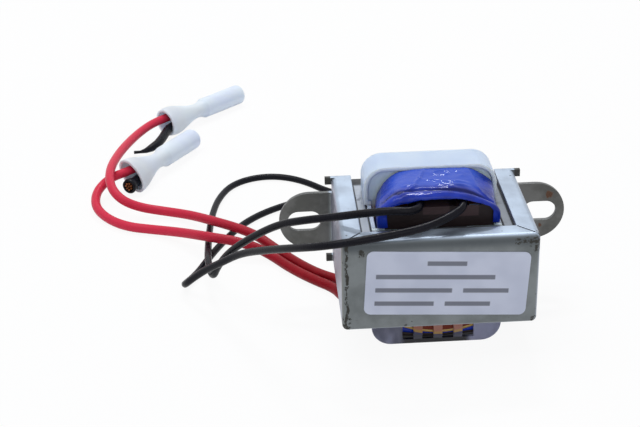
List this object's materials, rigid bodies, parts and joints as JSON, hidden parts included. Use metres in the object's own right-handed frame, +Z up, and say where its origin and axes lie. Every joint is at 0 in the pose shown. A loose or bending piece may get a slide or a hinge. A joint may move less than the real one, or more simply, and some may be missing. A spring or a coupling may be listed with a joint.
{
  "type": "mains transformer",
  "caption": "Open-frame mains transformer: laminated core in a folded steel frame with slotted ears, plastic bobbin and hood, blue taped winding, red and black flying leads with crimp caps.",
  "frame": {"origin": "on the floor under the middle of the transformer's body, leads left out", "axes": "+X along the mounting ears, +Y out of the rear plane of the ears, away from the label web, +Z up"},
  "size_m": [0.1184, 0.1625, 0.0384],
  "materials": {
    "plated_steel": "dull zinc plate with scuffs",
    "core_steel": "varnished electrical steel",
    "bobbin_nylon": "translucent white nylon",
    "cover_plastic": "translucent white plastic",
    "enamelled_copper": "enamelled copper wire",
    "inner_tape": "yellowish polyester tape",
    "splice_sleeve": "sleeved solder joint",
    "blue_tape": "glossy polyester tape",
    "insulating_sheet": "dark brown insulating sheet",
    "label_paper": "matte sticker, bare",
    "red_insulation": "smooth PVC",
    "black_insulation": "smooth PVC",
    "tinned_copper": "dull tin",
    "cap_nylon": "translucent white nylon",
    "bare_copper": "bare copper strands"
  },
  "bodies": {
    "root": {"mounting_frame": "plated_steel", "e_laminations": "core_steel", "i_laminations": "core_steel", "bobbin": "bobbin_nylon", "coil_cover": "cover_plastic", "primary_winding": "enamelled_copper", "primary_tape": "inner_tape", "primary_splices": "splice_sleeve", "secondary_winding": "enamelled_copper", "secondary_tape": "blue_tape", "secondary_splices": "splice_sleeve", "lead_insulation": "insulating_sheet", "label": "label_paper", "red_lead_1": "red_insulation", "red_lead_2": "red_insulation", "black_lead_1": "black_insulation", "black_lead_2": "black_insulation", "tinned_ends": "tinned_copper", "crimp_cap_1": "cap_nylon", "crimp_cap_2": "cap_nylon", "crimp_ferrules": "tinned_copper", "crimped_strands": "bare_copper", "cut_lead_1": "black_insulation", "cut_lead_2": "black_insulation", "cut_strands": "bare_copper"}
  },
  "joints": []
}
